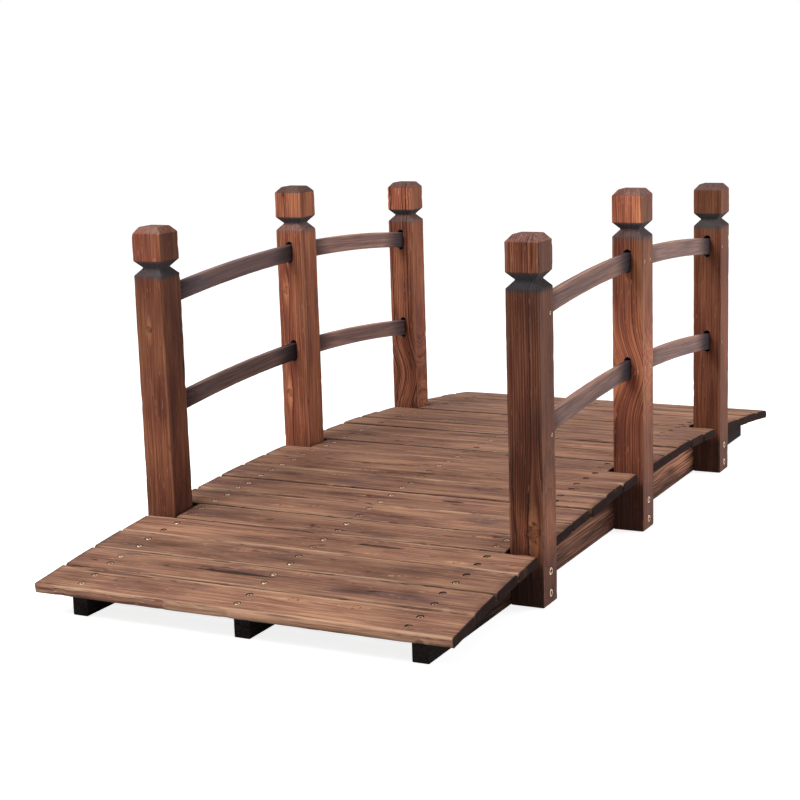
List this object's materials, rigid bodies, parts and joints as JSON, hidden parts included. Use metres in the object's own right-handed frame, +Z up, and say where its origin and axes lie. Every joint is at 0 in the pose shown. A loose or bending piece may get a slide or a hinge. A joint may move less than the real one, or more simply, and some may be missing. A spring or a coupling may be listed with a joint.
{
  "type": "moon bridge",
  "caption": "Small stained-wood garden footbridge: bowed plank deck on flat-bottomed stringers, square posts with grooved caps and arched twin rails along both sides.",
  "frame": {"origin": "bottom centre of the bridge, on the ground", "axes": "+X along the bridge, +Y to the left of someone who walks towards +X, +Z up"},
  "size_m": [1.4996, 0.668, 0.554],
  "materials": {
    "deck_wood": "weathered brown stain, dry matte",
    "stringer_wood": "dark brown stain, matte",
    "post_wood": "reddish brown stain over charred grain, satin",
    "rail_wood": "greyed brown stain over charred grain, matte",
    "screw_steel": "zinc-plated, dull"
  },
  "bodies": {
    "root": {"stringer_left": "stringer_wood", "stringer_centre": "stringer_wood", "stringer_right": "stringer_wood", "plank_01": "deck_wood", "plank_02": "deck_wood", "plank_03": "deck_wood", "plank_04": "deck_wood", "plank_05": "deck_wood", "plank_06": "deck_wood", "plank_07": "deck_wood", "plank_08": "deck_wood", "plank_09": "deck_wood", "plank_10": "deck_wood", "plank_11": "deck_wood", "plank_12": "deck_wood", "plank_13": "deck_wood", "plank_14": "deck_wood", "plank_15": "deck_wood", "plank_16": "deck_wood", "plank_17": "deck_wood", "plank_18": "deck_wood", "plank_19": "deck_wood", "plank_20": "deck_wood", "plank_21": "deck_wood", "post_left_front": "post_wood", "post_left_middle": "post_wood", "post_left_back": "post_wood", "post_right_front": "post_wood", "post_right_middle": "post_wood", "post_right_back": "post_wood", "rail_left_front_lower": "rail_wood", "rail_left_front_upper": "rail_wood", "rail_left_back_lower": "rail_wood", "rail_left_back_upper": "rail_wood", "rail_right_front_lower": "rail_wood", "rail_right_front_upper": "rail_wood", "rail_right_back_lower": "rail_wood", "rail_right_back_upper": "rail_wood"}
  },
  "joints": []
}
